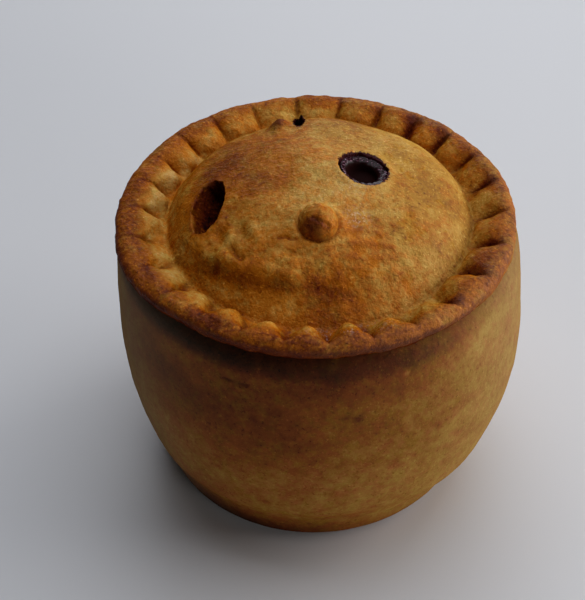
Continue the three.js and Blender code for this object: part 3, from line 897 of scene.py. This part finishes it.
# The same for the wall of the case
caseBake = {
    # more browning and warmth round the shaded front left: partly painted shade
    "brown": (0.37, [(245, 45, 0.08)]),  # then more of it at places round
    "warm": (0.18, [(245, 52, 0.42), (110, 70, 0.16)]),
    # a painted grey sheen where the wall turns edge-on, at the left and at the right
    "dust": (0.03, [(198, 26, 0.55), (352, 36, 0.34)]),
    # darker under the rim, painted shade with some real browning, most round the shaded front
    # left:
    # heights in mm, browning, warmth
    "darkening": {"angle": 232, "spread": 58, "heights": (59.5, 63.5), "brown": 0.08, "more": 0.3,
               "warm": 0.3, "fadeHeights": (52, 64), "fade": 0.08},
    # a browner foot, real browning with painted shade where it meets the table, most round the
    # shaded front left: height in mm, browning, warmth, share elsewhere
    "foot": {"angle": 238, "spread": 42, "height": 6.5, "brown": 0.32, "warm": 0.7, "share": 0.3},
    # painted shade: the near-black tone under the lid, seen only through the holes
    "inside": 0.95,  # under the lid, seen only through the holes
    "insideRadius": 0.8,  # inside begins at these shares of rimRadius and rimHeight
    "insideHeight": 0.9,
    # broad patches on the wall: degrees, height in mm, spreads of both, browning, warmth; the
    # broad dark ones at the front left and just under the rim are partly painted shade
    "patches": [
        (248, 48, 34, 13, 0.19, 0.3), (219, 52, 13, 9, 0.12, 0.3), (202, 40, 14, 22, -0.1, 0),
        (302, 46, 18, 18, 0.07, 0), (292, 62, 16, 4, 0.06, 0.2), (224, 33, 18, 12, -0.08, 0),
        (322, 60, 14, 6, -0.08, 0), (250, 14, 40, 12, 0.01, 0), (235, 2, 28, 5, 0.2, 0.1),
        (285, 58, 22, 6, 0.06, 0.3), (226, 57, 12, 4, -0.1, 0.1),
        (281.6, 50.1, 1.4, 0.9, 0.22, 0.4), (278, 50.4, 1.2, 0.8, 0.14, 0.3),
        (253.3, 48.1, 1, 0.8, 0.1, 0.2), (294.8, 60, 0.8, 0.6, -0.3, 0),
        (254.8, 62.4, 0.8, 0.6, -0.2, 0), (276, 61, 2.5, 1.5, 0.12, 0.4),
        (272, 59.5, 22, 4, 0.07, 0.25), (306, 62, 8, 4, 0.05, 0.1),
    ],
    # degrees and mm high, with a lip below it
    "crack": {"path": [(244.6, 57.4), (247.5, 57.0), (251.6, 57.2)], "width": 0.35, "depth": 0.35,
              "lip": 0.14, "lipBelow": 0.8, "lipWidth": 0.5, "brown": 0.2},
}


def onWall(angle, z, path, width, down=0.0):
    # 1 along a path over the wall, given in degrees and mm high
    wide = pie["rimRadius"]
    points = [(math.radians(degrees) * wide, height - down) for degrees, height in path]
    return nearPath(angle * wide, z, points, width)


def paintCase(obj):
    x, y, z = pointsOf(obj).T
    angle = np.arctan2(y, x) % tau
    # browner and redder round the shaded front left: partly painted shade
    brown, warm = roundRim(caseBake["brown"], angle), roundRim(caseBake["warm"], angle)
    # the broad dark patches at the front left and under the rim are partly painted shade
    for degrees, height, spread, tall, size, warmer in caseBake["patches"]:
        spot = humpAt(angle, degrees, spread) * bell(z, height, tall)
        brown, warm = brown + size * spot, warm + warmer * spot
    # painted shade under the rim, with some real browning, most at the shaded front left
    darkening = caseBake["darkening"]
    under, crease = hump(angle, darkening), ease(z, *darkening["heights"])
    brown = brown + (darkening["brown"] + darkening["more"] * under) * crease
    brown = brown + darkening["fade"] * under * ease(z, *darkening["fadeHeights"])
    warm = warm + darkening["warm"] * crease * under
    # the browner foot carries painted shade where it meets the table, most at the shaded front
    # left
    low, crack = caseBake["foot"], caseBake["crack"]
    foot = bell(z, 0, low["height"]) * between((low["share"], 1.0), hump(angle, low))
    brown, warm = brown + low["brown"] * foot, warm + low["warm"] * foot
    brown = brown + crack["brown"] * onWall(angle, z, crack["path"], crack["width"])
    # the case's top under the lid, seen through the holes, is painted near-black as shade
    high = z > caseBake["insideHeight"] * pie["rimHeight"]
    within = high & (np.hypot(x, y) < caseBake["insideRadius"] * pie["rimRadius"])
    brown, warm = np.where(within, caseBake["inside"], brown), np.where(within, 1.0, warm)
    # the grey sheen at the wall's sides is painted
    setAttributes(obj, brown=clamp(brown), warm=clamp(warm),
                  dust=clamp(roundRim(caseBake["dust"], angle)))


def crackCase(obj):
    # presses the crack into the wall
    points = pointsOf(obj)
    x, y, z = points.T
    angle = np.arctan2(y, x) % tau
    crack = caseBake["crack"]
    relief = crack["lip"] * onWall(angle, z, crack["path"], crack["lipWidth"], crack["lipBelow"])
    relief = relief - crack["depth"] * onWall(angle, z, crack["path"], crack["width"])
    relief = relief * (np.hypot(x, y) > caseBake["insideRadius"] * pie["rimRadius"])
    points[:, 0] += relief * np.cos(angle)
    points[:, 1] += relief * np.sin(angle)
    obj.data.vertices.foreach_set("co", (points * mm).ravel())
    obj.data.update()


def principled(name):
    # a new material, the function that adds its nodes, and its shader
    material = bpy.data.materials.new(name)
    material.use_nodes = True
    tree = material.node_tree
    return material, partial(addNode, tree), tree.nodes["Principled BSDF"]


flatAngles = (0.3, 0.85)  # between these, 0 facing the eye and 1 edge on, pastry stops shining


def pastryMaterial(name, look):
    material, add, shader = principled(name)
    where = add("ShaderNodeTexCoord", output="Object")
    value = {part: add("ShaderNodeAttribute", output="Fac", attribute_name=part)
             for part in ("brown", "warm", "dust", *look.get("alsoReads", ()))}
    value["height"] = 0.0
    for patterns, part in (("mottles", "brown"), ("specks", "brown"), ("hues", "warm"),
                           ("relief", "height"), ("raggedJuice", "fromHole")):
        for size, detail, level, strength in look.get(patterns, ()):
            pattern = add("ShaderNodeTexNoise",
                          {"Vector": where, "Scale": 1000 / size, "Detail": detail,
                           "Roughness": 0.6})
            off = add("ShaderNodeMath", [pattern, level], operation="SUBTRACT",
                      use_clamp=patterns == "specks")
            value[part] = add("ShaderNodeMath", [off, strength, value[part]],
                              operation="MULTIPLY_ADD")
    cool, warm = (add("ShaderNodeValToRGB", [value["brown"]], stops=look[side])
                  for side in ("cool", "warm"))
    # the painted sheen is mixed over the colour
    layers = [(value["warm"], warm), (value["dust"], linear(look["dusty"]))]
    if "juice" in look:
        start, end = look["juiceEnds"]
        edge = add("ShaderNodeMapRange", {"Value": value["fromHole"], "From Min": start,
                                          "From Max": end, "To Min": 1.0, "To Max": 0.0})
        layers.append((edge, linear(look["juice"])))
    colour = cool
    for share, over in layers:
        colour = add("ShaderNodeMix", {0: share, 6: colour, 7: over}, output=2, data_type="RGBA")
    bump = add("ShaderNodeBump", {"Height": value["height"], "Distance": 1.0, "Strength": 1.0})
    # a crumbly surface shadows itself at a flat angle
    facing = add("ShaderNodeLayerWeight", {"Blend": 0.5}, output="Facing")
    gloss = add("ShaderNodeMapRange",
                {"Value": facing, "From Min": flatAngles[0], "From Max": flatAngles[1],
                 "To Min": look["gloss"], "To Max": 0.0})
    rough = look["roughness"]
    if "glaze" in look:
        glaze = look["glaze"]
        pattern = add("ShaderNodeTexNoise",
                      {"Vector": where, "Scale": 1000 / glaze["size"], "Detail": 2.0,
                       "Roughness": 0.6})
        spots = add("ShaderNodeMath", [pattern, glaze["above"]], operation="GREATER_THAN")
        wet = add("ShaderNodeMath", [value["shine"], spots], operation="MULTIPLY")
        gloss = add("ShaderNodeMath", [wet, glaze["gloss"], gloss], operation="MULTIPLY_ADD")
        rough = add("ShaderNodeMath", [wet, -glaze["smoother"], rough], operation="MULTIPLY_ADD")
    fill(shader, {"Base Color": colour, "Normal": bump, "Roughness": rough,
                  "Specular IOR Level": gloss})
    return material


# Patterns: size in mm, detail, the level that they vary about, strength. Real crumb is 0.2 to
# 0.4 mm, too fine to show, so the finest specks and relief are drawn at 0.5 to 0.8 mm
looks = {
    # egg wash baked onto hot-water pastry: golden to orange-brown and maroon, blotched, with a
    # dull shine and a few wet-looking spots where the glaze lay thick
    "lid": {
        "cool": [(0, "#e2c888"), (0.28, "#cea350"), (0.48, "#b07d2a"), (0.7, "#7c4610"),
                 (0.86, "#50220a"), (1, "#200a08")],
        "warm": [(0, "#de9f50"), (0.28, "#ca7c20"), (0.48, "#a85a08"), (0.7, "#763206"),
                 (0.86, "#561a07"), (1, "#22080a")],
        "mottles": [(9.0, 2.0, 0.5, 0.26), (3.2, 3.0, 0.5, 0.38), (1.3, 3.0, 0.5, 0.24)],
        "specks": [(0.8, 1.0, 0.6, 0.7), (0.6, 1.0, 0.58, -1.2)],
        "hues": [(7.0, 2.0, 0.5, 2.0), (2.4, 3.0, 0.5, 2.2), (0.9, 2.0, 0.5, 1.4)],
        "relief": [(2.6, 4.0, 0.5, 0.0005), (0.8, 2.0, 0.5, 0.0003)],  # strength in m
        "dusty": "#b59a7c",
        "alsoReads": ("fromHole", "shine"),
        # juice that boiled out of two holes and dried on their edges, dark and ragged
        "juice": "#3a1216",
        "juiceEnds": (0.1, 0.3),  # mm outside a hole
        "raggedJuice": [(0.8, 2.0, 0.5, 1.6)],
        "gloss": 0.07,
        "roughness": 0.5,
        "glaze": {"size": 0.7, "above": 0.54, "gloss": 0.9, "smoother": 0.36},
    },
    # bare hot-water pastry, pressed and baked: matt, greyer than the lid, browner where it caught
    "case": {
        "cool": [(0, "#d6bd7c"), (0.3, "#b48f43"), (0.5, "#92651c"), (0.72, "#5c3a0e"),
                 (1, "#1c0f08")],
        "warm": [(0, "#cf9a64"), (0.3, "#b06e36"), (0.5, "#8c4a1c"), (0.72, "#58260f"),
                 (1, "#180a06")],
        "mottles": [(11.0, 2.0, 0.5, 0.16), (3.2, 3.0, 0.5, 0.24), (1.3, 3.0, 0.5, 0.18)],
        "specks": [(0.7, 1.0, 0.6, 0.8), (0.5, 1.0, 0.6, -0.7)],
        "hues": [(7.0, 2.0, 0.5, 1.5), (2.4, 3.0, 0.5, 1.9), (0.9, 2.0, 0.5, 1.3)],
        "relief": [(2.6, 4.0, 0.5, 0.0002), (0.8, 2.0, 0.5, 0.0001)],
        "dusty": "#8f7c66",
        "gloss": 0.06,
        "roughness": 0.75,
    },
}

tree = pastryTree()
pieCase = raisePastry(buildCase(), tree, {
    "Lump size": 0.012, "Lump height": 0.0006, "Dimple height": 0.0002, "Grain height": 0.00008,
    "Pastry": pastryMaterial("barePressedPastry", looks["case"]),
})
crackCase(pieCase)
paintCase(pieCase)
print("case pressed and baked,", len(pieCase.data.polygons), "faces")

pieLid = raisePastry(buildLid(), tree, {
    "Lump height": 0.0005, "Pastry": pastryMaterial("eggWashedPastry", looks["lid"]),
})
combine(pieLid, buildKnob(), "UNION")
for hole in holes.values():
    combine(pieLid, buildPit(hole), "DIFFERENCE")
pieLid.data.shade_smooth()
paintLid(pieLid)
print("lid crimped, holed and baked,", len(pieLid.data.polygons), "faces")

# Jelly: set in the right hole, with a dried skin round its edge and a dip in the middle
jelly = {
    # mm from the hole's middle and under the lid
    "section": [(0, -8.6), (2.9, -8.6), (4.1, -5.4), (4.85, -1.6), (4.95, -0.9), (4.7, -0.6),
                (4.3, -0.75), (3.9, -0.9), (3.5, -1.2), (3.25, -1.8), (3.05, -2.8), (2.7, -3.8),
                (1.6, -4.4), (0, -4.6)],
    "clearance": 0.2,  # mm from the hole's side
    "pitch": 0.25,  # mm between rings
    "sectors": 96,
    "shift": (-0.5, -0.2),  # mm, the dip off the middle
    "dipHeights": (-7, -1),  # mm; the dip starts at the first and is full at the second
    "dipRadii": (3.0, 4.6),  # mm out, where it ends
    "slopeHeights": (-5, -1),  # the same for the lid's slope, which the top follows
    "ripple": (0.3, 1.1),  # mm, height and size
    "rippleHeights": (-4, -1.2),
    "calmEdge": (0.6, 4.3, 4.9),  # how much less it ripples, from the first mm out to the second
    "skinDepths": (-2.0, -1.0),  # mm, where the dried skin starts
    "netScale": 2300.0,  # cells to the metre, 0.43 mm each
    # the net's colours, its palest stops partly painted highlights on the skin's wrinkles
    "net": [(0.3, "#200807"), (0.42, "#1a070a"), (0.54, "#2a0e16"), (0.61, "#552c39"),
            (0.69, "#a58698")],
    "roughness": (0.6, 0.25),  # deep down, and of the skin
    "gloss": (0.03, 0.14),
}


def buildJelly():
    hole = holes["right"]
    section = np.array(jelly["section"])
    profile = smoothThrough(section, ringPlaces(section, jelly["pitch"]))
    profile[:, 0] = np.maximum(profile[:, 0], 0)
    profile[0, 0] = profile[-1, 0] = 0
    ground = float(lidHeight(hole["x"], hole["y"]))
    widest = section[:, 0].max()
    calm, *calmEnds = jelly["calmEdge"]
    high, size = jelly["ripple"]
    long, short = (hole[way] - jelly["clearance"] for way in ("long", "short"))

    def place(angle, r, z):
        u, v = r * np.cos(angle) * long / widest, r * np.sin(angle) * short / widest
        x, y = turned(u, v, hole["turn"])
        dip = ease(z, *jelly["dipHeights"]) * (1 - ease(r, *jelly["dipRadii"]))
        ripple = high * smallNoise(x, y, z, size) * ease(z, *jelly["rippleHeights"])
        ripple = ripple * (1 - calm * ease(r, *calmEnds))
        x, y = hole["x"] + x, hole["y"] + y
        slope = (lidHeight(x, y) - ground) * ease(z, *jelly["slopeHeights"])
        shiftX, shiftY = jelly["shift"]
        return x + shiftX * dip, y + shiftY * dip, ground + z + ripple + slope

    return turnedObject("setJelly", [tuple(p) for p in profile], jelly["sectors"], place)


def jellyMaterial():
    # set meat jelly: nearly black in its depth, with a drying skin whose wrinkles carry a pale
    # violet net, partly the skin's colour and partly painted highlights
    material, add, shader = principled("driedDarkJelly")
    where = add("ShaderNodeTexCoord", output="Object")
    skin = add("ShaderNodeAttribute", output="Fac", attribute_name="film")
    net = add("ShaderNodeTexNoise", {"Vector": where, "Scale": jelly["netScale"], "Detail": 3.0})
    net = add("ShaderNodeMath", [net, skin], operation="MULTIPLY")
    # the pale violet net is partly painted highlight
    colour = add("ShaderNodeValToRGB", [net], stops=jelly["net"])
    fill(shader, {"Base Color": colour})
    for finish, (deep, dried) in (("Roughness", jelly["roughness"]),
                                  ("Specular IOR Level", jelly["gloss"])):
        amount = add("ShaderNodeMapRange", {"Value": skin, "To Min": deep, "To Max": dried})
        fill(shader, {finish: amount})
    return material


setJelly = buildJelly()
x, y, z = pointsOf(setJelly).T
setAttributes(setJelly, film=ease(z - lidHeight(x, y), *jelly["skinDepths"]))
setJelly.data.materials.append(jellyMaterial())
print("jelly set,", len(setJelly.data.polygons), "faces")

for piece, node, slot in ((pieCase, "crust", "baked_pastry"), (pieLid, "crust", "baked_pastry"),
                          (setJelly, "jelly", "set_jelly")):
    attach(piece, "root")
    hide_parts(node)

# Floor: pale eggshell paint, an even soft grey with hardly any shine
stage = {"colour": "#d9dade", "roughness": 0.6, "half": 4000}  # mm
floorMaterial, _, shader = principled("paleEggshellPaint")
fill(shader, {"Base Color": linear(stage["colour"]), "Roughness": stage["roughness"]})
half = stage["half"]
corners = [(-half, -half, 0), (half, -half, 0), (half, half, 0), (-half, half, 0)]
floor = meshObject("floor", corners, [(0, 1, 2, 3)])
floor.data.materials.append(floorMaterial)


def aim(obj, place, target):
    # puts a lamp or camera at a place, looking at the target
    obj.location = place
    obj.rotation_euler = (Vector(target) - Vector(place)).to_track_quat("-Z", "Y").to_euler()
    bpy.context.scene.collection.objects.link(obj)


# Soft lamps: degrees round from +X and up from the floor, size in m, watts, colour
lamps = {
    "window": (12, 18, (0.85, 0.45), 6.2, "#fffdfa"),
    "ceiling": (75, 72, (0.9, 0.8), 4.9, "#f7faff"),
    "backWall": (90, 18, (0.45, 0.45), 1.4, "#f4f8ff"),
    "frontWall": (300, 18, (0.45, 0.45), 1.3, "#fffaf4"),
}
lampDistance = 0.9  # m
for name, (azimuth, elevation, size, power, colour) in lamps.items():
    light = bpy.data.lights.new(name, "AREA")
    light.shape = "RECTANGLE"
    light.size, light.size_y = size
    light.energy = power
    light.color = linear(colour)[:3]
    a, e = math.radians(azimuth), math.radians(elevation)
    way = Vector((math.cos(a) * math.cos(e), math.sin(a) * math.cos(e), math.sin(e)))
    aim(bpy.data.objects.new(name, light), way * lampDistance, (0, 0, 0))
world = bpy.data.worlds.new("darkRoom")
world.use_nodes = True
world.node_tree.nodes["Background"].inputs["Strength"].default_value = 0.0
bpy.context.scene.world = world
bpy.context.scene.view_settings.view_transform = "Standard"

view = {"place": (0, -0.3216, 0.3353), "target": (-0.00528, -0.01193, 0.05393), "lens": 113.03}
camera = bpy.data.cameras.new("camera")
camera.lens = view["lens"]
camera.clip_start = 0.01  # m
eye = bpy.data.objects.new("camera", camera)
aim(eye, view["place"], view["target"])
bpy.context.scene.camera = eye
print("floor, lamps and camera set")
